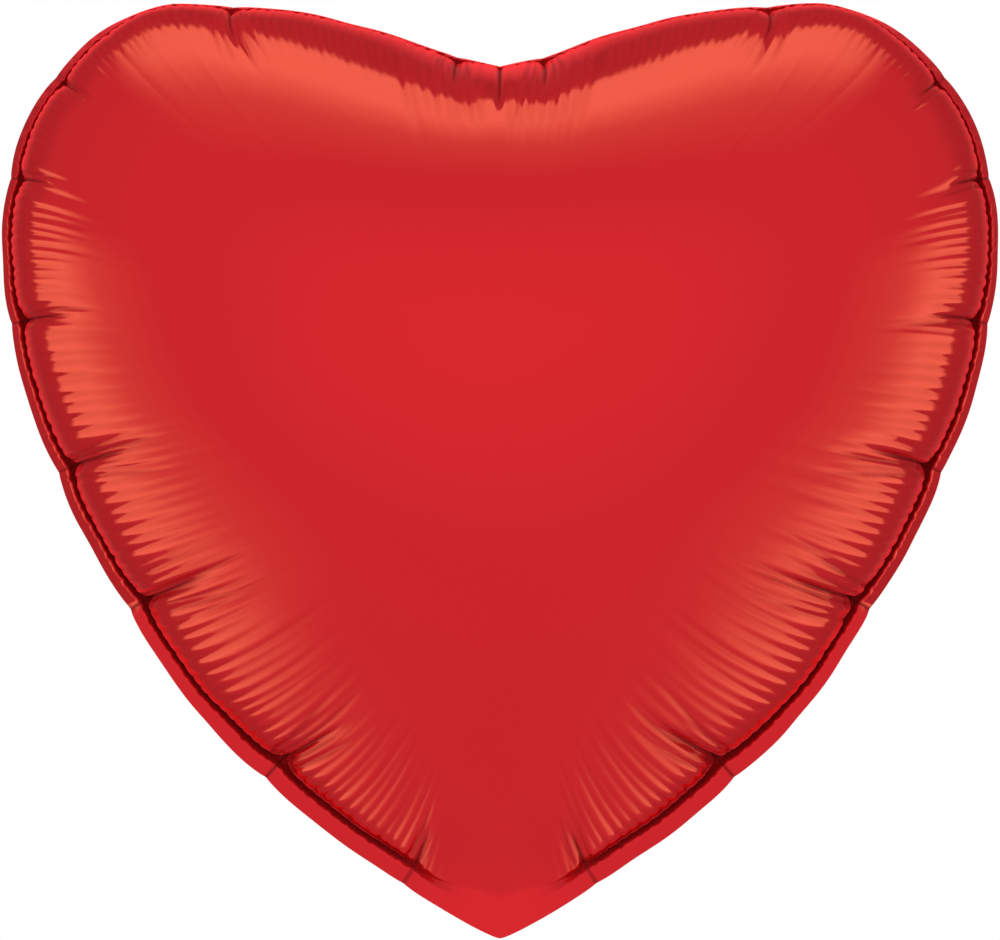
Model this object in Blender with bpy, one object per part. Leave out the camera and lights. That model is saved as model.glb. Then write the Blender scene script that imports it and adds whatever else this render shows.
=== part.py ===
"""Heart-shaped foil balloon, inflated.

Two heart-shaped films are welded together along a flat rim and blown up into a cushion.
A tail at the bottom tip holds the inlet and is folded up behind the back film, and a
self-sealing valve tube stands inside the body above the tip.

Frame: metres, +Z up, front towards -Y, origin at the bottom tip in the rim's middle plane.
"""
import math

import bmesh
import bpy
import numpy as np
from mathutils import Matrix, Vector
from mathutils.geometry import interpolate_bezier

MM = 0.001

# Body outline: the right half of the rim's outer edge, X and Z from the bottom tip.
CLEFT_Z = 341.2 * MM
CLEFT_HANDLE = (42.5 * MM, 10.0 * MM)
LOBE_TOP = (124.0 * MM, 366.0 * MM)
LOBE_HANDLE_IN = 61.0 * MM
LOBE_HANDLE_OUT = 21.0 * MM
SIDE = (195.0 * MM, 271.5 * MM)
SIDE_HANDLE_UP = 73.0 * MM
SIDE_HANDLE_DOWN = 90.6 * MM
FLANK = (110.6 * MM, 79.8 * MM)
FLANK_ANGLE = math.radians(46.6)
FLANK_HANDLE_UP = 10.4 * MM
FLANK_HANDLE_DOWN = 57.5 * MM
TIP_HANDLE = 6.2 * MM

# Inflated body and its rim.
HALF_DEPTH = 84.0 * MM
LENGTHWISE_TENSION = 0.3
TIP_SLIM = 70.0 * MM
RIM_WIDTH = 8.0 * MM
RIM_TILT_SIDE = math.radians(34.0)
TIP_FLAT = 7.0 * MM
TIP_FLAT_REACH = 28.0 * MM
TIP_ROUNDING = 40.0 * MM
TIP_UNTILTED = 12.0 * MM
TIP_TILT_FADE = 40.0 * MM
CENTRE_Z = 215.0 * MM

# Films, welds and the gaps between the layers.
FILM = 0.2 * MM
WELD = 0.2 * MM
LAYER = 0.65 * MM
WELD_INSET = 1.5 * MM
WELD_MARGIN = 0.8 * MM
WELD_OPENING = 9.0 * MM

# Tail, folded up behind the tip about a crease along X.
CREASE_Y = 1.0 * MM
CREASE_Z = 0.8 * MM
TAIL_FOLD = math.radians(155.0)
TAIL_START = 1.3 * MM
TAIL_LENGTH = 60.0 * MM
TAIL_HALF_WIDTH = 13.0 * MM
TAIL_PINCH = 7.5 * MM
TAIL_FLARE = 9.0 * MM
TAIL_WELD_WIDTH = 4.0 * MM

# Valve: a flat tube of two thin plies inside the body, with its root in the neck.
PLY = 0.15 * MM
ROOT_PLY = 0.1 * MM
ROOT_LAYER = 0.25 * MM
ROOT_BOTTOM = 2.5 * MM
ROOT_TOP = 28.5 * MM
ROOT_HALF_WIDTH = 6.5 * MM
VALVE_LAYER = 0.45 * MM
VALVE_BOTTOM = 29.5 * MM
VALVE_TOP = 95.0 * MM
VALVE_HALF_WIDTH = 12.0 * MM
VALVE_HINGE_Z = 29.0 * MM
VALVE_WELD_WIDTH = 3.0 * MM
VALVE_WELD = 0.2 * MM
COAT = 0.1 * MM
COAT_HALF_WIDTH = 5.0 * MM
COAT_BOTTOM = 5.0 * MM
COAT_TOP = 15.0 * MM

# Mesh resolution.
HALF_STATIONS = 40
END_CROWDING = 0.6
RINGS = 9
CURVE_STEPS = 60
FLARE_STEPS = 6


def clear_scene():
    for item in list(bpy.data.objects):
        bpy.data.objects.remove(item, do_unlink=True)


def material(name, colour, metallic, roughness):
    made = bpy.data.materials.new(name)
    made.use_nodes = True
    shader = made.node_tree.nodes["Principled BSDF"]
    shader.inputs["Base Color"].default_value = (*colour, 1.0)
    shader.inputs["Metallic"].default_value = metallic
    shader.inputs["Roughness"].default_value = roughness
    return made


def add_object(name, mesh, surface, origin=(0.0, 0.0, 0.0)):
    """Links the mesh, given in world coordinates, as an object with its origin at origin."""
    mesh.transform(Matrix.Translation(-Vector(origin)))
    mesh.materials.append(surface)
    made = bpy.data.objects.new(name, mesh)
    made.location = origin
    bpy.context.scene.collection.objects.link(made)
    return made


def mesh_from(name, points, faces):
    """Makes a mesh whose faces all point the same way, outwards where it is closed."""
    mesh = bpy.data.meshes.new(name)
    mesh.from_pydata([tuple(map(float, p)) for p in points], [], faces)
    work = bmesh.new()
    work.from_mesh(mesh)
    bmesh.ops.recalc_face_normals(work, faces=work.faces)
    work.to_mesh(mesh)
    work.free()
    return mesh


def half_outline():
    """The right half of the outline, from the cleft to the tip, as close points."""
    slope = np.array([math.cos(FLANK_ANGLE), math.sin(FLANK_ANGLE)])
    cleft = np.array([0.0, CLEFT_Z])
    top = np.array(LOBE_TOP)
    side = np.array(SIDE)
    flank = np.array(FLANK)
    tip = np.array([0.0, 0.0])
    curves = [
        (cleft, cleft + CLEFT_HANDLE, top - (LOBE_HANDLE_IN, 0), top),
        (top, top + (LOBE_HANDLE_OUT, 0), side + (0, SIDE_HANDLE_UP), side),
        (side, side - (0, SIDE_HANDLE_DOWN), flank + FLANK_HANDLE_UP * slope, flank),
        (flank, flank - FLANK_HANDLE_DOWN * slope, tip + (TIP_HANDLE, 0), tip),
    ]
    points = [cleft]
    for curve in curves:
        knots = [Vector((*k, 0.0)) for k in curve]
        sampled = interpolate_bezier(*knots, CURVE_STEPS)
        points += [np.array([p.x, p.y]) for p in sampled[1:]]
    return np.array(points)


def stations():
    """Outline stations round the whole rim: points, outward normals, distance to the tip."""
    fine = half_outline()
    length = np.concatenate([[0], np.cumsum(np.linalg.norm(np.diff(fine, axis=0), axis=1))])
    turn = np.linspace(0, 1, HALF_STATIONS + 1)
    along = length[-1] * (turn - END_CROWDING * np.sin(2 * np.pi * turn) / (2 * np.pi))
    right = np.stack([np.interp(along, length, fine[:, i]) for i in (0, 1)], axis=1)
    right[[0, -1], 0] = 0.0
    left = right[-2:0:-1] * (-1, 1)
    to_tip = length[-1] - along
    points = np.concatenate([right, left])
    tangent = np.roll(points, -1, axis=0) - np.roll(points, 1, axis=0)
    tangent /= np.linalg.norm(tangent, axis=1)[:, None]
    normals = np.stack([-tangent[:, 1], tangent[:, 0]], axis=1)
    return points, normals, np.concatenate([to_tip, to_tip[-2:0:-1]])


def rim_frames(points, normals, to_tip):
    """At each station: seam point, rim edge point and the rim's forward normal, in 3-D.

    Towards the tip the rim widens, lies flat and is measured more and more along Z, so
    that the seam rounds the tip without crossing itself.
    """
    fade = np.clip((to_tip - TIP_UNTILTED) / TIP_TILT_FADE, 0, 1)
    tilt = RIM_TILT_SIDE * (1 + normals[:, 1]) * fade * fade * (3 - 2 * fade)
    inset = RIM_WIDTH * np.cos(tilt) + TIP_FLAT * np.exp(-(to_tip / TIP_FLAT_REACH) ** 2)
    zero = np.zeros(len(points))
    steered = normals[:, 0] * np.clip(to_tip / TIP_ROUNDING, 0, 1)
    outward = np.stack([steered, zero, normals[:, 1]], axis=1)
    outward /= np.linalg.norm(outward, axis=1)[:, None]
    edge = np.stack([points[:, 0], inset * np.tan(tilt), points[:, 1]], axis=1)
    seam = np.stack([points[:, 0], zero, points[:, 1]], axis=1) - outward * inset[:, None]
    forward = outward * np.sin(tilt)[:, None] - np.outer(np.cos(tilt), (0, 1, 0))
    return seam, edge, forward


def spoke_grid(seam):
    """Grid points in X and Z from the seam, ring by ring, to the centre point."""
    centre = np.array([0.0, CENTRE_Z])
    rim = seam[:, [0, 2]]
    inward = 1 - np.cos(np.linspace(0, np.pi / 2, RINGS + 1))
    rings = [rim + (centre - rim) * u for u in inward[:-1]]
    return np.concatenate(rings + [centre[None, :]])


def grid_faces(count):
    """Faces between the rings of a spoke grid, with a fan of triangles at its centre."""
    faces = []
    for ring in range(RINGS - 1):
        for i in range(count):
            j = (i + 1) % count
            faces.append((ring * count + i, ring * count + j,
                          (ring + 1) * count + j, (ring + 1) * count + i))
    last = (RINGS - 1) * count
    faces += [(last + i, last + (i + 1) % count, RINGS * count) for i in range(count)]
    return faces


def inflated_height(grid, faces, count):
    """Film height over the rim plane.

    A membrane under pressure, pulled less along Z than across, is solved by linear finite
    elements. It is zero along the seam, and its square root leaves the seam upright, so
    level sections are close to ellipses, which are slimmed towards the tip.
    """
    pull = np.diag([LENGTHWISE_TENSION, 1.0])
    size = len(grid)
    stiffness = np.zeros((size, size))
    load = np.zeros(size)
    triangles = [(f[0], f[1], f[2]) for f in faces]
    triangles += [(f[0], f[2], f[3]) for f in faces if len(f) == 4]
    for tri in triangles:
        a, b, c = grid[list(tri)]
        edges = np.array([c - b, a - c, b - a])
        area = abs(edges[0, 0] * edges[1, 1] - edges[0, 1] * edges[1, 0]) / 2
        stiffness[np.ix_(tri, tri)] += edges @ pull @ edges.T / (4 * area)
        load[list(tri)] += area / 3
    free = np.arange(count, size)
    film = np.zeros(size)
    film[free] = np.linalg.solve(stiffness[np.ix_(free, free)], load[free])
    slim = 1 - np.exp(-(grid[:, 1] / TIP_SLIM))
    depth = np.sqrt(film) * slim
    return HALF_DEPTH * depth / depth.max()


def solidify(item, thickness):
    made = item.modifiers.new("film", 'SOLIDIFY')
    made.thickness = thickness
    made.offset = 0.0
    made.use_rim = True


def panel(name, surface, rim, side):
    """One film with its half of the rim; side is -1 for the front and +1 for the back."""
    seam, edge, forward = rim
    count = len(seam)
    grid = spoke_grid(seam)
    faces = grid_faces(count)
    height = inflated_height(grid, faces, count)
    shift = -side * LAYER * forward
    dome = np.stack([grid[:, 0], side * height, grid[:, 1]], axis=1)
    dome[:count] += shift
    dome[count:, 1] += side * LAYER
    points = np.concatenate([dome, edge + shift])
    outer = len(dome)
    for i in range(count):
        j = (i + 1) % count
        faces.append((outer + i, outer + j, j, i))
    made = add_object(name, mesh_from(name, points, faces), surface)
    solidify(made, FILM)
    made.data.shade_smooth()
    made.data.set_sharp_from_angle(angle=math.radians(50))


def perimeter_weld(surface, rim, to_tip):
    """The weld in the rim: a strip that stops short of the neck on both sides."""
    seam, edge, forward = rim
    out = edge - seam
    width = np.linalg.norm(out, axis=1)
    out /= width[:, None]
    inner = seam + out * WELD_INSET
    outer = seam + out * (width - WELD_MARGIN)[:, None]
    half = forward * WELD / 2
    kept = [i for i in range(len(seam)) if to_tip[i] > WELD_OPENING]
    first = kept.index(next(i for i in kept if i > HALF_STATIONS))
    kept = kept[first:] + kept[:first]
    points = []
    for i in kept:
        points += [inner[i] - half[i], outer[i] - half[i], outer[i] + half[i], inner[i] + half[i]]
    faces = [(0, 1, 2, 3), tuple(len(points) - k for k in (1, 2, 3, 4))]
    for n in range(len(kept) - 1):
        for k in range(4):
            a, b = 4 * n + k, 4 * n + (k + 1) % 4
            near, far = (a, b) if k < 2 else (b, a)
            faces += [(near, far, far + 4), (near, far + 4, near + 4)]
    add_object("perimeter_weld", mesh_from("perimeter_weld", points, faces), surface)


def plate(name, outline, y, thickness):
    """A flat sheet in the XZ plane: outline is a list of X, Z points, y its middle plane."""
    count = len(outline)
    near = [(x, y - thickness / 2, z) for x, z in outline]
    far = [(x, y + thickness / 2, z) for x, z in outline]
    faces = [tuple(range(count)), tuple(reversed(range(count, 2 * count)))]
    for i in range(count):
        j = (i + 1) % count
        faces.append((i, j, count + j, count + i))
    return mesh_from(name, near + far, faces)


def box_outline(x0, x1, z0, z1):
    return [(x0, z0), (x1, z0), (x1, z1), (x0, z1)]


def tail_outline():
    """The hanging tail: pinched at the crease, flaring to its full width, square at its end."""
    right = []
    for step in range(FLARE_STEPS + 1):
        part = step / FLARE_STEPS
        grown = math.sin(part * math.pi / 2)
        x = TAIL_PINCH + (TAIL_HALF_WIDTH - TAIL_PINCH) * grown
        right.append((x, CREASE_Z - TAIL_START - part * TAIL_FLARE))
    right.append((TAIL_HALF_WIDTH, CREASE_Z - TAIL_LENGTH))
    return right + [(-x, z) for x, z in reversed(right)]


def tail(film_surface, weld_surface):
    """Tail pieces, drawn hanging and then folded up behind the tip about the crease."""
    crease = Vector((0.0, CREASE_Y, CREASE_Z))
    fold = Matrix.Translation(crease) @ Matrix.Rotation(TAIL_FOLD, 4, 'X')
    fold = fold @ Matrix.Translation(-crease)
    pieces = [
        ("tail_front_film", plate("tail_front_film", tail_outline(), -LAYER, FILM), film_surface),
        ("tail_back_film", plate("tail_back_film", tail_outline(), LAYER, FILM), film_surface),
    ]
    z0 = CREASE_Z - TAIL_LENGTH + WELD_MARGIN
    z1 = CREASE_Z - TAIL_START - TAIL_FLARE
    outer = TAIL_HALF_WIDTH - WELD_MARGIN
    inner = outer - TAIL_WELD_WIDTH
    for name, x0, x1 in (("tail_weld_left", -outer, -inner), ("tail_weld_right", inner, outer)):
        pieces.append((name, plate(name, box_outline(x0, x1, z0, z1), 0.0, WELD), weld_surface))
    for name, mesh, surface in pieces:
        mesh.transform(fold)
        add_object(name, mesh, surface, crease)


def valve_root(ply_surface, coat_surface):
    """The fixed lower end of the valve between the rim films, with its release coat."""
    taper = [(-ROOT_HALF_WIDTH, ROOT_BOTTOM), (ROOT_HALF_WIDTH, ROOT_BOTTOM),
             (VALVE_HALF_WIDTH, ROOT_TOP), (-VALVE_HALF_WIDTH, ROOT_TOP)]
    for name, side in (("valve_root_front_ply", -1), ("valve_root_back_ply", 1)):
        add_object(name, plate(name, taper, side * ROOT_LAYER, ROOT_PLY), ply_surface)
    coat = box_outline(-COAT_HALF_WIDTH, COAT_HALF_WIDTH, COAT_BOTTOM, COAT_TOP)
    add_object("valve_release_coat", plate("valve_release_coat", coat, 0.0, COAT), coat_surface)


def valve(ply_surface, weld_surface):
    """The free upper end of the valve tube, which sways about its root."""
    hinge = (0.0, 0.0, VALVE_HINGE_Z)
    sheet = box_outline(-VALVE_HALF_WIDTH, VALVE_HALF_WIDTH, VALVE_BOTTOM, VALVE_TOP)
    for name, side in (("valve_front_ply", -1), ("valve_back_ply", 1)):
        add_object(name, plate(name, sheet, side * VALVE_LAYER, PLY), ply_surface, hinge)
    outer = VALVE_HALF_WIDTH - WELD_MARGIN
    inner = outer - VALVE_WELD_WIDTH
    for name, x0, x1 in (("valve_weld_left", -outer, -inner), ("valve_weld_right", inner, outer)):
        strip = box_outline(x0, x1, VALVE_BOTTOM + WELD_MARGIN, VALVE_TOP - WELD_MARGIN)
        add_object(name, plate(name, strip, 0.0, VALVE_WELD), weld_surface, hinge)


def build():
    clear_scene()
    front_film = material("front_film", (0.80, 0.024, 0.018), 1.0, 0.2)
    back_film = material("back_film", (0.80, 0.024, 0.018), 1.0, 0.2)
    tail_film = material("tail_film", (0.80, 0.024, 0.018), 1.0, 0.25)
    weld = material("weld", (0.55, 0.05, 0.05), 0.0, 0.4)
    ply = material("valve_ply", (0.85, 0.86, 0.88), 0.0, 0.35)
    coat = material("release_coat", (0.12, 0.30, 0.60), 0.0, 0.6)
    points, normals, to_tip = stations()
    rim = rim_frames(points, normals, to_tip)
    panel("front_panel", front_film, rim, -1)
    panel("back_panel", back_film, rim, 1)
    perimeter_weld(weld, rim, to_tip)
    tail(tail_film, weld)
    valve_root(ply, coat)
    valve(ply, weld)


build()
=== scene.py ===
"""The look of the heart-shaped foil balloon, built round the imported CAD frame.

Both films are rebuilt as fine skins. Their swell is one linear membrane solve. The pleats,
creases, lip and groove along the welded rim are formulas laid on top of it.
Metres, +Z up, front towards -Y, origin at the bottom tip in the rim's middle plane.
"""
import math

import bpy
import numpy as np
from mathutils import Matrix, Vector
from mathutils.geometry import interpolate_bezier


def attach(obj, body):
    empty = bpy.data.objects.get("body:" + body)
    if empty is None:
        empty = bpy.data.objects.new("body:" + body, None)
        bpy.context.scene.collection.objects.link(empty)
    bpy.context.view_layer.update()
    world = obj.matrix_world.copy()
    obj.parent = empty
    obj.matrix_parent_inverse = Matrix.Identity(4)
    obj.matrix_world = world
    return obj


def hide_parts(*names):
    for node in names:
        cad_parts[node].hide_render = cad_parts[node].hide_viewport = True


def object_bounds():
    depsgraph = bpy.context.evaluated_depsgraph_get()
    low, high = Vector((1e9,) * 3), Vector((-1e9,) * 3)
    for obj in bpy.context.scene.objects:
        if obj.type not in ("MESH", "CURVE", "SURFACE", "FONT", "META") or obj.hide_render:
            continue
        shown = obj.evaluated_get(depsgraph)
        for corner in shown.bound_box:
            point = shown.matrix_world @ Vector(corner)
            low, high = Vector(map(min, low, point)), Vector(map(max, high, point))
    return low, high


MM = 0.001

# Body outline, as in the CAD: the right half of the rim's outer edge.
CLEFT_Z = 341.2 * MM
CLEFT_HANDLE = (42.5 * MM, 10.0 * MM)
LOBE_TOP = (124.0 * MM, 366.0 * MM)
LOBE_HANDLE_IN = 61.0 * MM
LOBE_HANDLE_OUT = 21.0 * MM
SIDE = (195.0 * MM, 271.5 * MM)
SIDE_HANDLE_UP = 73.0 * MM
SIDE_HANDLE_DOWN = 90.6 * MM
FLANK = (110.6 * MM, 79.8 * MM)
FLANK_ANGLE = math.radians(46.6)
FLANK_HANDLE_UP = 10.4 * MM
FLANK_HANDLE_DOWN = 57.5 * MM
TIP_HANDLE = 6.2 * MM
CURVE_STEPS = 200

# Rim and inflated body, as in the CAD.
HALF_DEPTH = 84.0 * MM
LENGTHWISE_TENSION = 0.3
TIP_SLIM = 70.0 * MM
RIM_WIDTH = 8.0 * MM
TIP_FLAT = 7.0 * MM
TIP_FLAT_REACH = 28.0 * MM
TIP_ROUNDING = 40.0 * MM
TIP_UNTILTED = 12.0 * MM
TIP_TILT_FADE = 40.0 * MM
CENTRE = np.array([0.0, 215.0 * MM])

# Rim and body where they differ from the CAD or add to it.
LAYER = 0.40 * MM
WELD_HALF = 0.2 * MM
WELD_OUTER_PART = 0.97
WELD_INNER_PART = 0.03
MOST_DEPTH = HALF_DEPTH * 1.01
CLEFT_ROUNDING = 30.0 * MM
CLEFT_ROUNDING_BEFORE = 6 * MM
TIP_LIP_SHARE = 0.6
SHARP_FROM = math.radians(50.0)

# Tail behind the tip, as in the CAD but with a narrower pinch, a longer flare and its layers
# closer together.
TAIL_FOLD = math.radians(155.0)
CREASE_Y = 1.0 * MM
CREASE_Z = 0.8 * MM
TAIL_START = 1.3 * MM
TAIL_LENGTH = 60.0 * MM
TAIL_FLARE = 14.0 * MM
TAIL_PINCH = 5.0 * MM
TAIL_HALF_WIDTH = 13.0 * MM
TAIL_LAYER = 0.45 * MM
TAIL_ROWS = 70
TAIL_COLUMNS = 24
TAIL_WELD_COLUMNS = 6
TAIL_WELD_FROM = 0.65
TAIL_WELD_TO = 0.96
TAIL_WELD_END = 0.98
TAIL_GATHER = 0.5 * MM
TAIL_GATHER_FADE = 9 * MM
TAIL_BOW = 1.6 * MM
TAIL_CRUMPLE = 0.35 * MM
TAIL_CURL = 2.0 * MM

# Skin meshes: stations round the rim and rings from the seam to the centre.
STATIONS = 1600
SOLVE_STATIONS = 240
SOLVE_RINGS = 20
FINE_RINGS = 36
MIDDLE_RINGS = 12
INNER_RINGS = 12
FINE_END = math.radians(52.0)
MIDDLE_END = math.radians(70.0)

# Rim as the eye meets it, by how far its outward direction points up: the flat flange ends
# in a lip, then a narrow groove runs down to the seam under the overhanging body.
UPWARD = (-1.0, -0.75, -0.64, -0.61, -0.5, 0.0, 0.35, 0.6, 0.85, 0.94, 1.0)
LIP_INSET = (7.0, 6.0, 5.4, 4.8, 4.2, 2.5, 2.9, 3.3, 2.4, 0.7, 0.6)
GROOVE_WIDTH = (0.6, 2.6, 2.3, 2.0, 1.7, 1.4, 1.1, 0.6, 0.4, 0.1, 0.1)
GROOVE_DEPTH = (0.6, 4.5, 4.3, 4.1, 4.0, 3.4, 2.6, 1.6, 1.0, 0.5, 0.5)
OVERHANG = (0.3, 0.7, 0.8, 1.0, 1.1, 1.3, 1.2, 1.0, 1.0, 1.2, 1.2)
FLANGE_TILT = (50.0, 52.0, 53.0, 54.0, 56.0, 60.0, 60.0, 62.0, 66.0, 76.0, 78.0)
FLAT_FLANGE_TILT = 18.0
FLAT_FLANGE_FROM = 0.3360
FLAT_FLANGE_TO = 0.3410
LIP_PART = 0.4
RIM_PARTS = (1.0, 0.85, 0.7, 0.55, 0.45, 0.38, 0.3, 0.2, 0.1)

# Spokes: the lower ones lean inward and run further before they turn to the centre.
SPOKE_LEAN = 0.9
SPOKE_LEAN_FROM = 5 * MM
SPOKE_LEAN_TO = 70 * MM
SPOKE_LOW_FROM = -0.1
SPOKE_LOW_TO = 0.5
SPOKE_REACH = 0.16
SPOKE_REACH_LOW = 0.26
SPOKE_KEEP = 0.25

# One crease: how far it is followed, in its own widths and its own reaches, how round its
# bottom is, and at what share of its start it begins to show.
CREASE_WIDTHS = 4.5
CREASE_REACHES = 2.5
CREASE_ROUNDNESS = 0.35
CREASE_BEGIN = 0.2

# The rim's waviness: height, then the periods of its sines, in millimetres.
LIP_WAVE = (0.28, (3.1, 4.3, 5.9, 8.3))
EDGE_WAVE = (0.25, (17, 23, 31, 53))
OUTLINE_WAVE = (0.20, (29, 41, 67))
FACET_HEIGHT = 0.9 * MM
FACET_MEAN = 0.6
FACET_ROUNDNESS = 0.6

# The pleats' marks on the rim: notches in its outline and painted shade lines across it.
NOTCH_SHARE = 0.45
NOTCH_WIDTH = 5 * MM
NOTCH_FADE = 12 * MM
EDGE_DRAWN_LESS = 0.3
FOLD_LINE_SHADE = 0.9
FOLD_SHADE_WIDTH = 0.7 * MM

# Film beside the seam: it bulges over the groove, lies flat and smooth at the tip, and takes
# painted shade next to the groove.
TIP_SMOOTH = (22 * MM, 45 * MM)
TIP_LEVEL = (18 * MM, 50 * MM)
TIP_LEVEL_REACH = 9 * MM
BULGE_LEAST = 0.6
BULGE_MORE = 0.8
BULGE_RISE = 2.5 * MM
BULGE_REACH = 26 * MM
GROOVE_FADE = 6 * MM
GROOVE_PAINTED_SHADE = 0.55
GROOVE_PAINTED_SHADE_REACH = 1.5 * MM

# Seeds of the random draws.
FRONT_SEED = 11
BACK_SEED = 23
LIP_SEED = 3
EDGE_SEED = 5
OUTLINE_SEED = 9


def half_outline():
    """The right half of the outline, from the cleft to the tip, as close points."""
    slope = np.array([math.cos(FLANK_ANGLE), math.sin(FLANK_ANGLE)])
    cleft = np.array([0.0, CLEFT_Z])
    top = np.array(LOBE_TOP)
    side = np.array(SIDE)
    flank = np.array(FLANK)
    tip = np.array([0.0, 0.0])
    curves = [
        (cleft, cleft + CLEFT_HANDLE, top - (LOBE_HANDLE_IN, 0), top),
        (top, top + (LOBE_HANDLE_OUT, 0), side + (0, SIDE_HANDLE_UP), side),
        (side, side - (0, SIDE_HANDLE_DOWN), flank + FLANK_HANDLE_UP * slope, flank),
        (flank, flank - FLANK_HANDLE_DOWN * slope, tip + (TIP_HANDLE, 0), tip),
    ]
    points = [cleft]
    for curve in curves:
        knots = [Vector((*k, 0.0)) for k in curve]
        sampled = interpolate_bezier(*knots, CURVE_STEPS)
        points += [np.array([p.x, p.y]) for p in sampled[1:]]
    return np.array(points)


def smooth_step(x, start, end):
    part = np.clip((x - start) / (end - start), 0, 1)
    return part * part * (3 - 2 * part)


class Rim:
    """Stations evenly spaced round the rim, clockwise from the cleft."""

    def __init__(self, count):
        fine = half_outline()
        steps = np.linalg.norm(np.diff(fine, axis=0), axis=1)
        length = np.concatenate([[0], np.cumsum(steps)])
        self.half = length[-1]
        self.count = count
        self.along = np.arange(count) * 2 * self.half / count
        from_cleft = np.minimum(self.along, 2 * self.half - self.along)
        side = np.where(self.along <= self.half, 1.0, -1.0)
        x = side * np.interp(from_cleft, length, fine[:, 0])
        z = np.interp(from_cleft, length, fine[:, 1])
        self.points = np.stack([x, z], axis=1)
        self.to_tip = self.half - from_cleft
        tangent = np.roll(self.points, -1, axis=0) - np.roll(self.points, 1, axis=0)
        tangent /= np.linalg.norm(tangent, axis=1)[:, None]
        self.normals = np.stack([-tangent[:, 1], tangent[:, 0]], axis=1)
        self.frames()

    def frames(self):
        """Lip, groove and seam of the rim, and the direction in which each spoke starts."""
        level = self.normals[:, 1]
        self.fade = smooth_step(self.to_tip, TIP_UNTILTED, TIP_UNTILTED + TIP_TILT_FADE)
        tip = RIM_WIDTH + TIP_FLAT * np.exp(-(self.to_tip / TIP_FLAT_REACH) ** 2)
        lip = np.interp(level, UPWARD, LIP_INSET) * MM
        groove = np.interp(level, UPWARD, GROOVE_WIDTH) * MM
        self.overhang = np.interp(level, UPWARD, OVERHANG) * MM * self.fade
        inner = lip + groove + self.overhang
        self.inset = tip + (inner - tip) * self.fade
        tip_lip = TIP_LIP_SHARE * self.inset
        self.lip = tip_lip + (lip - tip_lip) * self.fade
        self.groove = np.interp(level, UPWARD, GROOVE_DEPTH) * MM * self.fade
        tilt = np.interp(level, UPWARD, FLANGE_TILT)
        share = (self.half - self.to_tip) / (2 * self.half)
        low = smooth_step(share, FLAT_FLANGE_FROM, FLAT_FLANGE_TO)
        tilt = np.radians(tilt + (FLAT_FLANGE_TILT - tilt) * low) * self.fade
        self.edge_back = self.lip * np.tan(tilt)
        steered = self.normals[:, 0] * np.clip(self.to_tip / TIP_ROUNDING, 0, 1)
        steered *= smooth_step(self.half - self.to_tip, -CLEFT_ROUNDING_BEFORE, CLEFT_ROUNDING)
        outward = np.stack([steered, self.normals[:, 1]], axis=1)
        self.outward = outward / np.linalg.norm(outward, axis=1)[:, None]
        self.seam = self.points - self.outward * self.inset[:, None]

    def profile(self, part, waves):
        """Inset and depth of the rim's middle surface; part runs from the seam to the edge."""
        lip = self.lip + waves
        if part < LIP_PART:
            share = part / LIP_PART
            down = 0.5 - smooth_step(share, 0.0, 1.0)
            return self.inset + (lip - self.inset) * share, self.groove * down
        share = (part - LIP_PART) / (1 - LIP_PART)
        return lip * (1 - share), -0.5 * self.groove + self.edge_back * share


def spokes(rim, angles):
    """Points in X and Z on each spoke; a spoke bends from the rim to the centre.

    angles run from 0 at the seam to 90 degrees at the centre, as on an ellipse.
    """
    aside = smooth_step(abs(rim.seam[:, 0]), SPOKE_LEAN_FROM, SPOKE_LEAN_TO)
    aside = np.sign(rim.seam[:, 0]) * aside
    low = smooth_step(-rim.normals[:, 1], SPOKE_LOW_FROM, SPOKE_LOW_TO)
    start = -rim.outward.copy()
    start[:, 0] -= SPOKE_LEAN * aside * low
    start /= np.linalg.norm(start, axis=1)[:, None]
    reach = SPOKE_REACH + SPOKE_REACH_LOW * low
    reach = reach * np.linalg.norm(CENTRE - rim.seam, axis=1)
    middle = rim.seam + start * reach[:, None]
    keep = SPOKE_KEEP * rim.seam[:, 0]
    right = np.maximum(middle[:, 0], keep)
    left = np.minimum(middle[:, 0], keep)
    middle[:, 0] = np.where(rim.seam[:, 0] >= 0, right, left)
    u = (1 - np.cos(angles))[None, :, None]
    seam = rim.seam[:, None, :]
    return (1 - u) ** 2 * seam + 2 * (1 - u) * u * middle[:, None, :] + u * u * CENTRE


def solve_film(grid, count, rings):
    """Membrane under pressure on the spoke grid, zero along the seam (finite elements)."""
    points = np.concatenate([grid[:, :rings].transpose(1, 0, 2).reshape(-1, 2), CENTRE[None]])
    i = np.arange(count)
    j = (i + 1) % count
    triangles = []
    for ring in range(rings - 1):
        a, b = ring * count, (ring + 1) * count
        triangles += [np.stack([a + i, a + j, b + j], 1), np.stack([a + i, b + j, b + i], 1)]
    last = (rings - 1) * count
    triangles.append(np.stack([last + i, last + j, np.full(count, rings * count)], 1))
    triangles = np.concatenate(triangles)
    corners = points[triangles]
    edges = np.roll(corners, -2, axis=1) - np.roll(corners, -1, axis=1)
    cross = edges[:, 0, 0] * edges[:, 1, 1] - edges[:, 0, 1] * edges[:, 1, 0]
    area = abs(cross) / 2
    pull = np.array([LENGTHWISE_TENSION, 1.0])
    local = np.einsum('tik,tjk->tij', edges * pull, edges) / (4 * area)[:, None, None]
    size = len(points)
    stiffness = np.zeros((size, size))
    rows = np.repeat(triangles, 3, axis=1).ravel()
    columns = np.tile(triangles, (1, 3)).ravel()
    np.add.at(stiffness, (rows, columns), local.reshape(-1))
    load = np.zeros(size)
    np.add.at(load, triangles.ravel(), np.repeat(area / 3, 3))
    film = np.zeros(size)
    film[count:] = np.linalg.solve(stiffness[count:, count:], load[count:])
    field = film[:-1].reshape(rings, count).T
    return np.concatenate([field, np.full((count, 1), film[-1])], axis=1)


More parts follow.
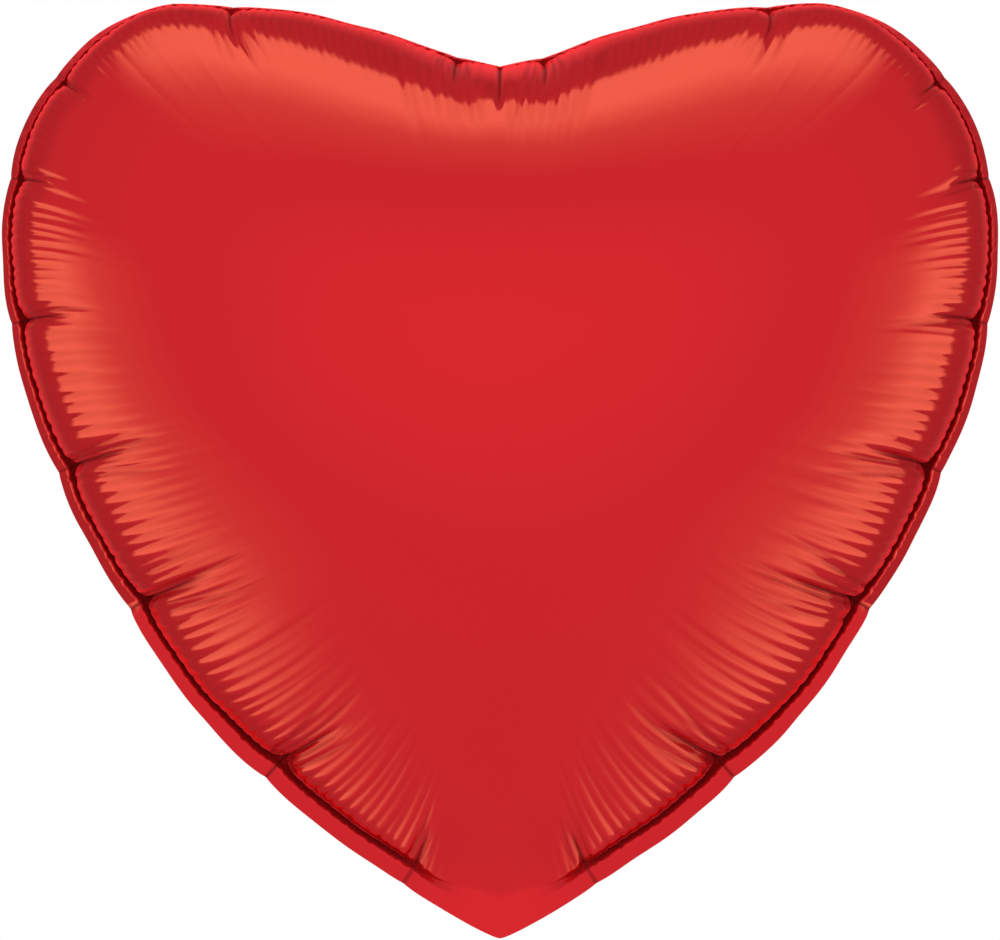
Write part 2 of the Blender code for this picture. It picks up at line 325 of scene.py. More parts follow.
def cubic(values, x, axis):
    """Catmull-Rom reading of values at positions x along axis, with clamped ends."""
    values = np.moveaxis(values, axis, 0)
    base = np.clip(np.floor(x).astype(int), 0, len(values) - 1)
    t = (x - base).reshape((-1,) + (1,) * (values.ndim - 1))
    p = [values[np.clip(base + k, 0, len(values) - 1)] for k in (-1, 0, 1, 2)]
    read = 0.5 * (2 * p[1] + (p[2] - p[0]) * t + (2 * p[0] - 5 * p[1] + 4 * p[2] - p[3]) * t ** 2
                  + (3 * p[1] - p[0] - 3 * p[2] + p[3]) * t ** 3)
    return np.moveaxis(read, 0, axis)


def height_field(angles, count):
    """Half-depth of the smooth body on the fine spoke grid."""
    coarse = Rim(SOLVE_STATIONS)
    steps = np.linspace(0, math.pi / 2, SOLVE_RINGS + 1)
    field = solve_film(spokes(coarse, steps), SOLVE_STATIONS, SOLVE_RINGS)
    mirrored = np.concatenate([field[:, :0:-1], field], axis=1)
    read = cubic(mirrored, SOLVE_RINGS + angles / steps[1], axis=1)
    pad = 3
    wrapped = np.concatenate([read[-pad:], read, read[:pad]])
    where = pad + np.arange(count) * SOLVE_STATIONS / count
    return np.maximum(cubic(wrapped, where, axis=0), 0), field.max()


def body_surface(rim, angles):
    """Smooth front-facing half of the body: X, depth and Z for each station and angle."""
    flat = spokes(rim, angles)
    film, peak = height_field(angles, rim.count)
    slim = 1 - np.exp(-flat[..., 1] / TIP_SLIM)
    depth = HALF_DEPTH * np.sqrt(film / peak) * slim
    depth *= 1.0 / (1 - math.exp(-CENTRE[1] / TIP_SLIM))
    depth = np.minimum(depth, MOST_DEPTH)
    return np.stack([flat[..., 0], depth, flat[..., 1]], axis=2)


class Pleats:
    """Inward creases of one film: each runs from the seam along, or across, the spokes, with
    painted shade along it.
    """

    def __init__(self, rim, run, plan, seed):
        self.rim = rim
        self.run = run
        self.plan = plan
        self.random = np.random.default_rng(seed)
        self.depth = np.zeros_like(run)
        self.shade = np.zeros_like(run)

    def add(self, place, deep, width, reach, lean=0.0, spread=0.0, start=0.0, soft=1.0,
            shade=0.0, wavy=False):
        """Adds one crease at a place along the rim.

        Its reach, lean and spread go by the distance seen from the front (plan), its start
        by the length over the film (run).
        """
        whole = 2 * self.rim.half
        span = width + (abs(lean) + spread) * CREASE_REACHES * reach
        count = int(CREASE_WIDTHS * span / whole * self.rim.count) + 3
        middle = int(round(place / whole * self.rim.count))
        place = middle * whole / self.rim.count
        index = np.arange(middle - count, middle + count + 1)
        here = index % self.rim.count
        offset = index * whole / self.rim.count - place
        plan = self.plan[here]
        across = abs(offset[:, None] - lean * plan) / (width + spread * plan)
        round_shape = np.exp(-across ** 2)
        sharp_shape = np.exp(-(across ** 2) / (CREASE_ROUNDNESS + across))
        shape = round_shape if wavy else sharp_shape
        fade = np.exp(-(plan / reach) ** (1.0 + soft))
        if start > 0:
            fade = fade * smooth_step(self.run[here], CREASE_BEGIN * start, start)
        np.add.at(self.depth, here, -deep * shape * fade)
        # shade paints darkness along the crease: painted shade, not the film's own colour.
        if shade > 0:
            np.maximum.at(self.shade, here, shade * round_shape * fade)


# Deep pleats of one half: the place as a share of the whole rim from the cleft, then the
# depth, the reach over the film, the number of creases in the fan, the fan's reach and its
# width along the rim. Lengths are in millimetres.
PLEATS = [
    (0.0140, 0.9, 16, 7, 26, 12),
    (0.0885, 1.2, 20, 6, 26, 12),
    (0.1540, 0.9, 14, 3, 16, 6),
    (0.1900, 1.1, 16, 3, 14, 6),
    (0.2375, 1.6, 24, 5, 22, 7),
    (0.2880, 2.0, 30, 7, 40, 10),
    (0.3380, 2.4, 34, 11, 46, 20),
    (0.4080, 2.2, 30, 10, 36, 14),
    (0.4640, 1.0, 18, 4, 24, 8),
]

# Rows of corrugations between the pleats: start and end as shares of the whole rim, then
# spacing, depth, where they begin and how far they reach from the seam, in millimetres.
ROWS = [
    (0.004, 0.034, 4.6, 0.45, 8, 38),
    (0.034, 0.085, 3.6, 0.20, 5, 16),
    (0.085, 0.185, 3.8, 0.10, 5, 12),
    (0.190, 0.2375, 4.4, 0.42, 6, 28),
    (0.2375, 0.2880, 4.6, 0.42, 6, 40),
    (0.2880, 0.3380, 4.8, 0.40, 7, 44),
    (0.3380, 0.4080, 5.4, 0.55, 16, 48),
    (0.4080, 0.4640, 4.8, 0.48, 8, 38),
    (0.4640, 0.4860, 4.6, 0.30, 6, 22),
]


def both_halves(share, whole):
    """The same place on the right and on the left half of the rim."""
    return [share * whole, (1 - share) * whole]


def cleft_creases(pleats):
    """The sharp upright fold below the cleft and the softer folds beside it."""
    # The cleft fold carries strong painted shade; the softer folds beside it carry a little.
    pleats.add(-0.3 * MM, 1.8 * MM, 0.8 * MM, 18 * MM, lean=-0.02, start=2 * MM, soft=7.0,
               shade=1.0)
    for number in range(7):
        pleats.add((2.8 + 4.2 * number) * MM, 0.5 * MM, 1.5 * MM, 44 * MM, lean=0.04,
                   start=14 * MM, soft=4.0, wavy=True, shade=0.15)


def fan_creases(pleats, whole, fan_of):
    """A soft valley, its sharp fold, a second fold beside it and a fan of thin creases.

    Depths and reaches are shares of the pleat's own; drawn depths, widths and starts are in
    millimetres, and a lean is sideways millimetres per millimetre inward.
    """
    share, deep, reach, fan, fan_reach, wide = fan_of
    draw = pleats.random.uniform
    for place in both_halves(share, whole):
        pleats.add(place, 0.55 * deep * MM, 1.4 * MM, reach * MM, spread=0.12)
        # The shade values paint darkness into the sharp folds and the fan: painted shade.
        pleats.add(place, deep * MM, 0.9 * MM, 0.8 * reach * MM, draw(-0.05, 0.05), 0.01,
                   soft=4.0, shade=0.95)
        pleats.add(place + draw(2.0, 3.2) * MM, 0.5 * deep * MM, 0.8 * MM, 1.3 * reach * MM,
                   draw(0.0, 0.08), 0.005, start=6 * MM, soft=5.0, shade=0.6)
        for number in range(fan):
            turn = 2 * (number + 0.5) / fan - 1
            lean = 0.22 * turn + draw(-0.06, 0.06)
            at = place + (0.5 * wide * turn + draw(-1.0, 1.0)) * MM
            length = fan_reach * draw(0.5, 1.0) * MM
            pleats.add(at, draw(0.4, 0.9) * MM, draw(0.6, 1.0) * MM, length, lean, 0.015,
                       start=draw(1, 10) * MM, soft=3.0, shade=draw(0.2, 0.6))


def corrugate(pleats, whole, row):
    """A row of soft, nearly parallel corrugations."""
    start, end, spacing, deep, begin, reach = row
    draw = pleats.random.uniform
    for side in (1, -1):
        at = start * whole + 2 * MM
        while at < end * whole - 2 * MM:
            place = at if side > 0 else whole - at
            # Each corrugation gets a little painted shade along its valley.
            pleats.add(place, deep * draw(0.7, 1.3) * MM, spacing * draw(0.28, 0.38) * MM,
                       reach * draw(0.7, 1.1) * MM, draw(-0.03, 0.03), 0.008,
                       start=begin * draw(0.7, 1.3) * MM, soft=3.0, wavy=True, shade=0.18)
            pleats.add(place, 0.35 * draw(0.5, 1.5) * MM, 0.9 * MM,
                       10 * draw(0.8, 1.3) * MM, start=2 * MM, soft=2.0)
            at += spacing * draw(0.8, 1.2) * MM


def pleat_film(rim, run, plan, seed):
    """All creases of one film: its offset along the outward normal, and the painted shade along
    the creases.
    """
    whole = 2 * rim.half
    pleats = Pleats(rim, run, plan, seed)
    cleft_creases(pleats)
    for fan_of in PLEATS:
        fan_creases(pleats, whole, fan_of)
    for row in ROWS:
        corrugate(pleats, whole, row)
    return pleats.depth, np.clip(pleats.shade, 0, 1)


def pleat_places(rim):
    """Where each deep pleat meets the rim, and its depth in millimetres."""
    whole = 2 * rim.half
    return [(place, fan_of[1]) for fan_of in PLEATS for place in both_halves(fan_of[0], whole)]


def away_from(rim, place):
    """Distance of each station from a place on the rim, the shorter way round."""
    whole = 2 * rim.half
    return abs((rim.along - place + whole / 2) % whole - whole / 2)


def notch(rim):
    """How far the seam and the rim's edge are drawn in at each deep pleat."""
    drawn = np.zeros(rim.count)
    for place, deep in pleat_places(rim):
        drawn += NOTCH_SHARE * deep * MM * np.exp(-away_from(rim, place) / NOTCH_WIDTH)
    return drawn


def rim_fold_shade(rim):
    """Painted shade of the fold that crosses the flat rim at each deep pleat."""
    line = np.zeros(rim.count)
    for place, _ in pleat_places(rim):
        line += FOLD_LINE_SHADE * np.exp(-(away_from(rim, place) / FOLD_SHADE_WIDTH) ** 2)
    return np.minimum(line, 1.0) * rim.fade


def facets(rim):
    """One at the middle of each stretch between two pleats, none at the pleats."""
    whole = 2 * rim.half
    places = np.sort([place for place, _ in pleat_places(rim)])
    places = np.concatenate([[places[-1] - whole], places, [places[0] + whole]])
    which = np.searchsorted(places, rim.along, side="right")
    start, end = places[which - 1], places[np.minimum(which, len(places) - 1)]
    return np.sin(np.pi * (rim.along - start) / (end - start)) ** FACET_ROUNDNESS


def ripples(rim, seed, height_and_periods):
    """A sum of sines round the rim, of the height given, fading at the tip."""
    height, periods = height_and_periods
    random = np.random.default_rng(seed)
    wave = np.zeros(rim.count)
    for period in periods:
        turns = round(2 * rim.half / (period * MM))
        phase = random.uniform(0, 2 * np.pi)
        wave += np.sin(2 * np.pi * turns * rim.along / (2 * rim.half) + phase)
    return height * MM * (wave / math.sqrt(len(periods)) * rim.fade)


def surface_normals(points):
    """Unit normals of a station-by-ring surface, pointing away from the body."""
    along = np.roll(points, -1, axis=0) - np.roll(points, 1, axis=0)
    inward = np.gradient(points, axis=1)
    normal = np.cross(inward, along)
    length = np.linalg.norm(normal, axis=2, keepdims=True)
    return normal / np.maximum(length, 1e-12)


def ring_angles():
    """Angles of the rings: close near the seam, wider towards the centre."""
    fine = np.linspace(0, FINE_END, FINE_RINGS + 1)
    middle = np.linspace(FINE_END, MIDDLE_END, MIDDLE_RINGS + 1)[1:]
    inner = np.linspace(MIDDLE_END, math.pi / 2, INNER_RINGS + 1)[1:]
    return np.concatenate([fine, middle, inner])


def ring_stride(ring):
    """How many stations one step along a ring spans."""
    if ring <= FINE_RINGS:
        return 1
    return 2 if ring <= FINE_RINGS + MIDDLE_RINGS else 4


def join_rings(faces, outer, outer_count, inner, inner_count):
    """Faces between two rings of vertices; the inner one may have half as many."""
    if outer_count == inner_count:
        for i in range(outer_count):
            j = (i + 1) % outer_count
            faces.append((outer + i, outer + j, inner + j, inner + i))
        return
    for i in range(inner_count):
        j = (i + 1) % inner_count
        a, b, c = outer + 2 * i, outer + 2 * i + 1, outer + (2 * i + 2) % outer_count
        faces += [(a, b, inner + i), (b, inner + j, inner + i), (b, c, inner + j)]


class Shell:
    """The rim's middle surface and the waviness shared by both films and the weld."""

    def __init__(self, rim):
        self.rim = rim
        self.drawn = notch(rim)
        self.lip_wave = ripples(rim, LIP_SEED, LIP_WAVE)
        self.edge_wave = ripples(rim, EDGE_SEED, EDGE_WAVE)
        self.outline_wave = ripples(rim, OUTLINE_SEED, OUTLINE_WAVE)
        self.outline_wave += FACET_HEIGHT * (facets(rim) - FACET_MEAN) * rim.fade

    def rim_row(self, part, offset):
        """Points round the rim at one part of its width, offset to the front or back."""
        rim = self.rim
        inset, back = rim.profile(part, self.lip_wave)
        inward = inset + self.drawn * (1 - EDGE_DRAWN_LESS * part) - self.outline_wave
        row = np.empty((rim.count, 3))
        row[:, [0, 2]] = rim.points - rim.outward * inward[:, None]
        row[:, 1] = back + offset + self.edge_wave * part
        return row


def distance_inward(points):
    """Length along each spoke from the seam."""
    steps = np.linalg.norm(np.diff(points, axis=1), axis=2)
    return np.concatenate([np.zeros((len(points), 1)), np.cumsum(steps, axis=1)], axis=1)


def film_surface(shell, side, seed):
    """One film from the seam to the centre, with its creases and the painted shade in the creases
    and the groove.
    """
    rim = shell.rim
    base = body_surface(rim, ring_angles())
    base[..., 1] *= side
    run = distance_inward(base)
    plan = distance_inward(base[..., [0, 2]])
    normal = surface_normals(base) * (-side)
    normal[:, -1] = (0, side, 0)
    depth, shade = pleat_film(rim, run, plan, seed)
    tip_fade = smooth_step(rim.to_tip, *TIP_SMOOTH)[:, None]
    level_tip = (1 - smooth_step(rim.to_tip, *TIP_LEVEL))[:, None]
    base[..., 1] *= 1 - level_tip * np.exp(-plan / TIP_LEVEL_REACH)
    surface = base + normal * (depth * tip_fade)[..., None]
    bulge = rim.overhang * (BULGE_LEAST + BULGE_MORE * facets(rim))
    swell = (1 - np.exp(-run / BULGE_RISE)) * np.exp(-(run / BULGE_REACH) ** 2)
    outward = bulge[:, None] * swell
    drawn_in = (shell.drawn - shell.outline_wave)[:, None] * np.exp(-run / NOTCH_FADE)
    moved = outward - drawn_in
    surface[..., [0, 2]] += rim.outward[:, None] * moved[..., None]
    surface[..., 1] += 0.5 * rim.groove[:, None] * np.exp(-run / GROOVE_FADE) + side * LAYER
    # Painted shade darkens the film where it runs into the groove.
    groove_shade = GROOVE_PAINTED_SHADE * np.exp(-(run / GROOVE_PAINTED_SHADE_REACH) ** 2) * rim.fade[:, None]
    return surface, np.maximum(shade * tip_fade, groove_shade)


def build_panel(name, shell, side, seed):
    """Mesh of one film: its half of the rim, then rings of growing coarseness.

    The first row turns the edge in to the weld, so the second one is the rim's own edge.
    """
    rim = shell.rim
    # The fold lines across the rim are painted shade.
    folds = rim_fold_shade(rim)
    surface, shade = film_surface(shell, side, seed)
    vertices, faces, starts, shades = [], [], [], []
    for part, layer in ((1.0, WELD_HALF), *((part, LAYER) for part in RIM_PARTS)):
        starts.append((len(vertices), rim.count))
        vertices += shell.rim_row(part, side * layer).tolist()
        # Painted shade darkens the rim rows that run down into the groove.
        dark = GROOVE_PAINTED_SHADE * (1 - smooth_step(part, 0.7 * LIP_PART, 1.1 * LIP_PART))
        shades += np.maximum(dark * rim.fade, folds).tolist()
    seam_start = len(vertices)
    last_ring = surface.shape[1] - 1
    for ring in range(last_ring):
        stride = ring_stride(ring)
        starts.append((len(vertices), rim.count // stride))
        vertices += surface[::stride, ring].tolist()
        shades += shade[::stride, ring].tolist()
    centre = len(vertices)
    vertices.append(surface[:, -1].mean(axis=0).tolist())
    shades.append(0.0)
    for outer, inner in zip(starts, starts[1:]):
        join_rings(faces, *outer, *inner)
    last, count = starts[-1]
    faces += [(last + i, last + (i + 1) % count, centre) for i in range(count)]
    if side < 0:
        faces = [face[::-1] for face in faces]
    sharp_rows = [(first, first + rim.count) for first in (rim.count, seam_start)]
    return make_mesh(name, vertices, faces, shades, sharp_rows)


def build_weld(name, shell):
    """The weld between the films: a thin closed strip on the rim's middle surface."""
    parts = (WELD_OUTER_PART,) + RIM_PARTS[1:] + (WELD_INNER_PART,)
    rows = [shell.rim_row(part, -WELD_HALF) for part in parts]
    rows += [shell.rim_row(part, WELD_HALF) for part in reversed(parts)]
    count = shell.rim.count
    vertices = np.concatenate(rows).tolist()
    faces = []
    for k in range(len(rows)):
        here, after = k * count, (k + 1) % len(rows) * count
        for i in range(count):
            j = (i + 1) % count
            faces.append((here + i, after + i, after + j, here + j))
    made = make_mesh(name, vertices, faces, [0.0] * len(vertices))
    made.data.set_sharp_from_angle(angle=SHARP_FROM)
    return made


def make_mesh(name, vertices, faces, shades, sharp_rows=()):
    """Links a smooth mesh object; shades become its crease attribute, painted shade which darkens
    the film.
    """
    mesh = bpy.data.meshes.new(name)
    mesh.from_pydata(vertices, [], faces)
    mesh.shade_smooth()
    if sharp_rows:
        mark_sharp(mesh, sharp_rows)
    layer = mesh.attributes.new("crease", 'FLOAT', 'POINT')
    layer.data.foreach_set("value", shades)
    made = bpy.data.objects.new(name, mesh)
    bpy.context.scene.collection.objects.link(made)
    return made


def mark_sharp(mesh, rows):
    """Keeps hard folds along whole rows of vertices: the rim's edge and the seam."""
    pairs = np.empty(len(mesh.edges) * 2, int)
    mesh.edges.foreach_get("vertices", pairs)
    pairs = pairs.reshape(-1, 2)
    on_row = np.zeros(len(pairs), bool)
    for first, end in rows:
        on_row |= ((pairs >= first) & (pairs < end)).all(axis=1)
    layer = mesh.attributes.new("sharp_edge", 'BOOLEAN', 'EDGE')
    layer.data.foreach_set("value", on_row)


def tail_point(across, along, layer):
    """A point of the folded tail; across runs from -1 to 1, along from the crease to the end."""
    grown = math.sin(min(along * TAIL_LENGTH / TAIL_FLARE, 1) * math.pi / 2)
    half = TAIL_PINCH + (TAIL_HALF_WIDTH - TAIL_PINCH) * grown
    x = half * across
    down = TAIL_START + along * (TAIL_LENGTH - TAIL_START)
    gathers = TAIL_GATHER * math.cos(4.5 * math.pi * across) * math.exp(-down / TAIL_GATHER_FADE)
    bow = TAIL_BOW * (across * across - 0.4) * math.sin(math.pi * min(along * 1.1, 1))
    crumple = TAIL_CRUMPLE * math.sin(31 * along + 2.1 * across)
    crumple *= math.sin(2.3 * across + 5 * along)
    curl = -TAIL_CURL * along ** 3
    y = layer + (gathers + bow + crumple + curl) * smooth_step(along, 0, 0.12)
    return Vector((x, CREASE_Y + y, CREASE_Z - down))


def tail_fold():
    """The turn about the crease that lays the tail up behind the tip."""
    crease = Vector((0.0, CREASE_Y, CREASE_Z))
    turn = Matrix.Translation(crease) @ Matrix.Rotation(TAIL_FOLD, 4, 'X')
    return turn @ Matrix.Translation(-crease)


def tail_sheet(name, start, end, columns, back, front, along_end=1.0):
    """A closed strip of the tail between two fractions of its width and two layers."""
    vertices, faces = [], []
    for layer in (back, front):
        for row in range(TAIL_ROWS + 1):
            along = along_end * row / TAIL_ROWS
            for column in range(columns + 1):
                across = start + (end - start) * column / columns
                vertices.append(tuple(tail_point(across, along, layer)))
    wide = columns + 1
    sheet = (TAIL_ROWS + 1) * wide
    for row in range(TAIL_ROWS):
        for column in range(columns):
            a = row * wide + column
            quad = (a, a + 1, a + wide + 1, a + wide)
            faces.append(quad)
            faces.append(tuple(sheet + corner for corner in reversed(quad)))
    border = list(range(columns)) + [row * wide + columns for row in range(TAIL_ROWS)]
    border += [TAIL_ROWS * wide + column for column in range(columns, 0, -1)]
    border += [row * wide for row in range(TAIL_ROWS, 0, -1)]
    for a, b in zip(border, border[1:] + border[:1]):
        faces.append((b, a, sheet + a, sheet + b))
    made = make_mesh(name, vertices, faces, [0.0] * len(vertices))
    made.data.set_sharp_from_angle(angle=SHARP_FROM)
    made.data.transform(tail_fold())
    return made


def build_tail(foil, weld_look):
    """The tail's two films and the welds along its two sides."""
    films = (("tail_front_skin", "tail_front_film", -WELD_HALF, -TAIL_LAYER),
             ("tail_back_skin", "tail_back_film", TAIL_LAYER, WELD_HALF))
    for name, node, back, front in films:
        sheet = tail_sheet(name, -1, 1, TAIL_COLUMNS, back, front)
        dress(sheet, "tail", node, foil)
    welds = (("tail_left_weld_skin", "tail_weld_left", -TAIL_WELD_TO, -TAIL_WELD_FROM),
             ("tail_right_weld_skin", "tail_weld_right", TAIL_WELD_FROM, TAIL_WELD_TO))
    half = 0.9 * WELD_HALF
    for name, node, start, end in welds:
        strip = tail_sheet(name, start, end, TAIL_WELD_COLUMNS, half, -half, TAIL_WELD_END)
        dress(strip, "tail", node, weld_look)


def dress(made, body, node, look):
    """Gives a piece its material, parents it to its body's empty and hides the CAD node it stands
    for.
    """
    made.data.materials.append(look)
    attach(made, body)
    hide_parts(node)


# Looks of the materials, with a dark red that is painted shade in creases, folds and the groove.
FILM_RED = (0.80, 0.021, 0.028, 1)
FILM_RED_LIGHT = (0.84, 0.024, 0.030, 1)
FOLD_SHADE_RED = (0.09, 0.006, 0.006, 1)
GLINT_RED = (0.95, 0.5, 0.5, 1)
FILM_ROUGHNESS = (0.08, 0.13)
CLOUD_SCALE = 9.0
CLOUD_DETAIL = 3.0
GRAIN_SCALE = 260.0
PLAIN_SCALE = 120.0
FINE_DETAIL = 2.0
PLAIN_ROUGHNESS_SPREAD = 0.06
GRAIN_STRENGTH = 0.15
GRAIN_DEPTH = 0.0002
COAT_WEIGHT = 0.10
COAT_ROUGHNESS = 0.1
COAT_IOR = 1.5
LIMB_FROM = 0.60
LIMB_TO = 0.90
LIMB_DULL = 0.95


def math_node(nodes, links, operation, *values):
    """Output of a math node; each value is a number or another node's output."""
    made = nodes.new("ShaderNodeMath")
    made.operation = operation
    for socket, value in zip(made.inputs, values):
        if isinstance(value, (int, float)):
            socket.default_value = value
        else:
            links.new(value, socket)
    return made.outputs[0]


def mix_node(nodes, links, factor, a, b):
    """Colour mixed from a to b; each is a colour or another node's output."""
    made = nodes.new("ShaderNodeMix")
    made.data_type = 'RGBA'
    links.new(factor, made.inputs["Factor"])
    for socket, value in (("A", a), ("B", b)):
        if isinstance(value, tuple):
            made.inputs[socket].default_value = value
        else:
            links.new(value, made.inputs[socket])
    return made.outputs["Result"]


def noise_node(nodes, links, scale, detail):
    """Noise over the object's own coordinates."""
    place = nodes.new("ShaderNodeTexCoord")
    made = nodes.new("ShaderNodeTexNoise")
    made.inputs["Scale"].default_value = scale
    made.inputs["Detail"].default_value = detail
    links.new(place.outputs["Object"], made.inputs["Vector"])
    return made.outputs["Fac"]


def range_node(nodes, links, value, settings):
    """A value spread over another range."""
    made = nodes.new("ShaderNodeMapRange")
    for socket, setting in settings.items():
        made.inputs[socket].default_value = setting
    links.new(value, made.inputs["Value"])
    return made.outputs["Result"]


def film_gloss(nodes, links, crease):
    """How mirror-like the film is: less where the crease attribute paints shade, and at grazing
    angles. It sets gloss only.
    """
    facing = nodes.new("ShaderNodeLayerWeight")
    facing.inputs["Blend"].default_value = 0.5
    limb = range_node(nodes, links, facing.outputs["Facing"],
                      {"From Min": LIMB_FROM, "From Max": LIMB_TO, "To Max": LIMB_DULL})
    dull = math_node(nodes, links, 'MAXIMUM', crease, limb)
    return math_node(nodes, links, 'SUBTRACT', 1.0, dull)


def foil_material(name):
    """Red lacquered metallised film: mirror-like, slightly uneven, under a clear coat, darkened
    by painted shade from the crease attribute.
    """
    made = bpy.data.materials.new(name)
    made.use_nodes = True
    nodes, links = made.node_tree.nodes, made.node_tree.links
    shader = nodes["Principled BSDF"].inputs
    shader["Specular Tint"].default_value = GLINT_RED
    shader["Specular IOR Level"].default_value = 0.0
    shader["Coat Roughness"].default_value = COAT_ROUGHNESS
    shader["Coat IOR"].default_value = COAT_IOR
    cloud = noise_node(nodes, links, CLOUD_SCALE, CLOUD_DETAIL)
    low, high = FILM_ROUGHNESS
    rough = range_node(nodes, links, cloud, {"To Min": low, "To Max": high})
    links.new(rough, shader["Roughness"])
    # The crease attribute is painted shade: it mixes in a dark red and takes the mirror away.
    painted_shade_layer = nodes.new("ShaderNodeAttribute")
    painted_shade_layer.attribute_name = "crease"
    crease = painted_shade_layer.outputs["Fac"]
    tint = mix_node(nodes, links, cloud, FILM_RED, FILM_RED_LIGHT)
    links.new(mix_node(nodes, links, crease, tint, FOLD_SHADE_RED), shader["Base Color"])
    mirror = film_gloss(nodes, links, crease)
    links.new(mirror, shader["Metallic"])
    links.new(math_node(nodes, links, 'MULTIPLY', mirror, COAT_WEIGHT), shader["Coat Weight"])
    bump = nodes.new("ShaderNodeBump")
    bump.inputs["Strength"].default_value = GRAIN_STRENGTH
    bump.inputs["Distance"].default_value = GRAIN_DEPTH
    links.new(noise_node(nodes, links, GRAIN_SCALE, FINE_DETAIL), bump.inputs["Height"])
    links.new(bump.outputs["Normal"], shader["Normal"])
    return made


def plain_material(name, colour, roughness):
    """One colour with an unevenly rough surface: the welds, the valve and the floor."""
    made = bpy.data.materials.new(name)
    made.use_nodes = True
    nodes, links = made.node_tree.nodes, made.node_tree.links
    shader = nodes["Principled BSDF"].inputs
    shader["Base Color"].default_value = (*colour, 1)
    shader["Metallic"].default_value = 0.0
    cloud = noise_node(nodes, links, PLAIN_SCALE, FINE_DETAIL)
    rough = range_node(nodes, links, cloud, {"To Min": roughness - PLAIN_ROUGHNESS_SPREAD,
                                             "To Max": roughness + PLAIN_ROUGHNESS_SPREAD})
    links.new(rough, shader["Roughness"])
    return made


# Studio: the world is a smooth wrap-round of soft light, plain white except in reflections.
LENS = 180.0
SENSOR = 36.0
VIEW_WIDTH = 0.3915
FLOOR_Z = -0.30
FLOOR_SIZE = 3.0
LIGHT_SIZE = (1.6, 1.2)
LIGHT_ENERGY = 14
LIGHT_PLACE = (-0.4, -0.5, 1.5)
LIGHT_TILT = math.radians(-14)
WHITE = (1, 1, 1, 1)
SOFT_BOX = (1.08, 3.9, 1.9, 1)
NEVER_ZERO = 0.0001

# Grey levels along a direction's depth, 0 straight in front and 1 straight behind: the even
# light, and the bright frame round the front.
EVEN_LIGHT = [(0.0, 0.83), (0.10, 0.74), (0.55, 0.66), (0.68, 0.52), (0.85, 0.45), (1.0, 0.35)]
FRAME_LIGHT = [(0.0, 0), (0.17, 0), (0.33, 0.26), (0.48, 1), (0.66, 1), (0.69, 0)]

# Levels from straight down, 0, over the sides to straight up, 1: how far out the frame
# reaches, and how bright it is.
FRAME_REACH = [(0.0, 0.74), (0.14, 0.76), (0.32, 1), (0.88, 1), (1.0, 0.95)]
FRAME_LOBES = [(0.0, 0.0), (0.05, 0.1), (0.13, 0.6), (0.22, 1), (0.53, 1), (0.61, 0), (0.88, 0),
               (0.95, 0.9), (1.0, 1)]


def grey_ramp(nodes, links, value, stops):
    """Grey level read from stops of place and level."""
    made = nodes.new("ShaderNodeValToRGB")
    band = made.color_ramp
    while len(band.elements) < len(stops):
        band.elements.new(0.5)
    for element, (place, level) in zip(band.elements, stops):
        element.position = place
        element.color = (level, level, level, 1)
    links.new(value, made.inputs[0])
    return made.outputs[0]


def turn_round_front(nodes, links, x, z):
    """0 for a direction straight down, 0.5 to either side, 1 straight up, seen from the front."""
    across = math_node(nodes, links, 'MULTIPLY', x, x)
    upward = math_node(nodes, links, 'MULTIPLY_ADD', z, z, NEVER_ZERO)
    flat = math_node(nodes, links, 'SQRT', math_node(nodes, links, 'ADD', across, upward))
    rise = math_node(nodes, links, 'DIVIDE', z, flat)
    return math_node(nodes, links, 'MULTIPLY_ADD', rise, 0.5, 0.5)


def studio_world():
    """Surroundings that the film reflects, by direction: even light and a bright frame."""
    world = bpy.data.worlds.new("studio")
    bpy.context.scene.world = world
    world.use_nodes = True
    nodes, links = world.node_tree.nodes, world.node_tree.links
    place = nodes.new("ShaderNodeTexCoord")
    split = nodes.new("ShaderNodeSeparateXYZ")
    links.new(place.outputs["Generated"], split.inputs[0])
    x, y, z = split.outputs
    depth = math_node(nodes, links, 'MULTIPLY_ADD', y, 0.5, 0.5)
    turn = turn_round_front(nodes, links, x, z)
    reach = grey_ramp(nodes, links, turn, FRAME_REACH)
    ring_depth = math_node(nodes, links, 'DIVIDE', depth, reach)
    ring = grey_ramp(nodes, links, ring_depth, FRAME_LIGHT)
    lobes = grey_ramp(nodes, links, turn, FRAME_LOBES)
    bright = math_node(nodes, links, 'MULTIPLY', ring, lobes)
    glow = mix_node(nodes, links, bright, grey_ramp(nodes, links, depth, EVEN_LIGHT), SOFT_BOX)
    path = nodes.new("ShaderNodeLightPath")
    seen = mix_node(nodes, links, path.outputs["Is Glossy Ray"], WHITE, glow)
    links.new(seen, nodes["Background"].inputs["Color"])


def studio_floor():
    """A plain pale floor, left out of the reflections."""
    bpy.ops.mesh.primitive_plane_add(size=FLOOR_SIZE, location=(0, 0, FLOOR_Z))
    floor = bpy.context.object
    floor.name = "studio_floor"
    floor.data.materials.append(plain_material("floor", (0.9, 0.9, 0.9), 0.8))
    floor.visible_glossy = False


def studio_camera():
    """Straight from the front, level with the middle of the balloon."""
    data = bpy.data.cameras.new("camera")
    data.lens = LENS
    data.sensor_width = SENSOR
    camera = bpy.data.objects.new("camera", data)
    low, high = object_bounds()
    camera.location = (0, -LENS / SENSOR * VIEW_WIDTH, (low[2] + high[2]) / 2)
    camera.rotation_euler = (math.radians(90), 0, 0)
    bpy.context.scene.collection.objects.link(camera)
    bpy.context.scene.camera = camera


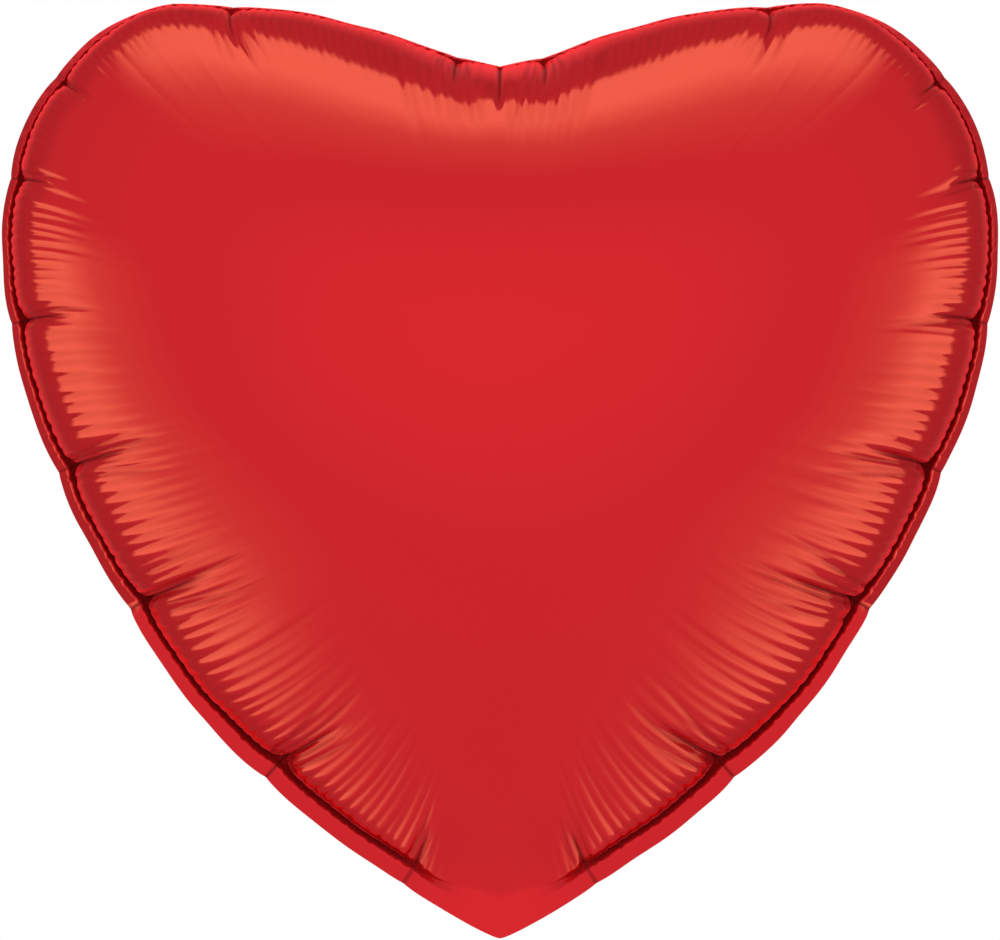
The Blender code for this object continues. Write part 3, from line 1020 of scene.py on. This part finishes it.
def studio_lights():
    """One large soft light from above and in front."""
    data = bpy.data.lights.new("soft_box", 'AREA')
    data.shape = 'RECTANGLE'
    data.size, data.size_y = LIGHT_SIZE
    data.energy = LIGHT_ENERGY
    light = bpy.data.objects.new("soft_box", data)
    light.location = LIGHT_PLACE
    light.rotation_euler = (LIGHT_TILT, LIGHT_TILT, 0)
    light.visible_glossy = False
    bpy.context.scene.collection.objects.link(light)


def dress_kept_nodes(nodes, looks):
    """Materials of the CAD's own solids of the valve, tail and welds."""
    for name, node in nodes.items():
        if name.startswith("tail") and "film" in name:
            look = looks["foil"]
        elif "weld" in name:
            look = looks["weld"]
        elif name == "valve_release_coat":
            look = looks["release_coat"]
        elif name.startswith("valve"):
            look = looks["valve_ply"]
        else:
            continue
        node.data.materials.clear()
        node.data.materials.append(look)


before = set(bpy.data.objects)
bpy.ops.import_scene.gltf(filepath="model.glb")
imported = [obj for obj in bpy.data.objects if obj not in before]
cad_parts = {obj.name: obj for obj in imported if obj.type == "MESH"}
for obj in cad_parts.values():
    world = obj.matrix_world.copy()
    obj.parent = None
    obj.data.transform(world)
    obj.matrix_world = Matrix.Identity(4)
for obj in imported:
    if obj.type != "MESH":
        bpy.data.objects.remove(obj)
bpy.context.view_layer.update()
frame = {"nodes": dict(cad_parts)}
studio_camera()
studio_world()
studio_floor()
studio_lights()

foil = foil_material("red_foil")
weld_look = plain_material("weld", (0.45, 0.03, 0.03), 0.35)
shell = Shell(Rim(STATIONS))
front_skin = build_panel("front_skin", shell, -1, FRONT_SEED)
back_skin = build_panel("back_skin", shell, 1, BACK_SEED)
dress(front_skin, "balloon_body", "front_panel", foil)
dress(back_skin, "balloon_body", "back_panel", foil)
dress(build_weld("weld_skin", shell), "balloon_body", "perimeter_weld", weld_look)
build_tail(foil, weld_look)
dress_kept_nodes(frame["nodes"], {
    "foil": foil,
    "weld": weld_look,
    "valve_ply": plain_material("valve_ply", (0.8, 0.82, 0.84), 0.35),
    "release_coat": plain_material("release_coat", (0.1, 0.25, 0.5), 0.6),
})

bpy.context.scene.view_settings.view_transform = 'Standard'
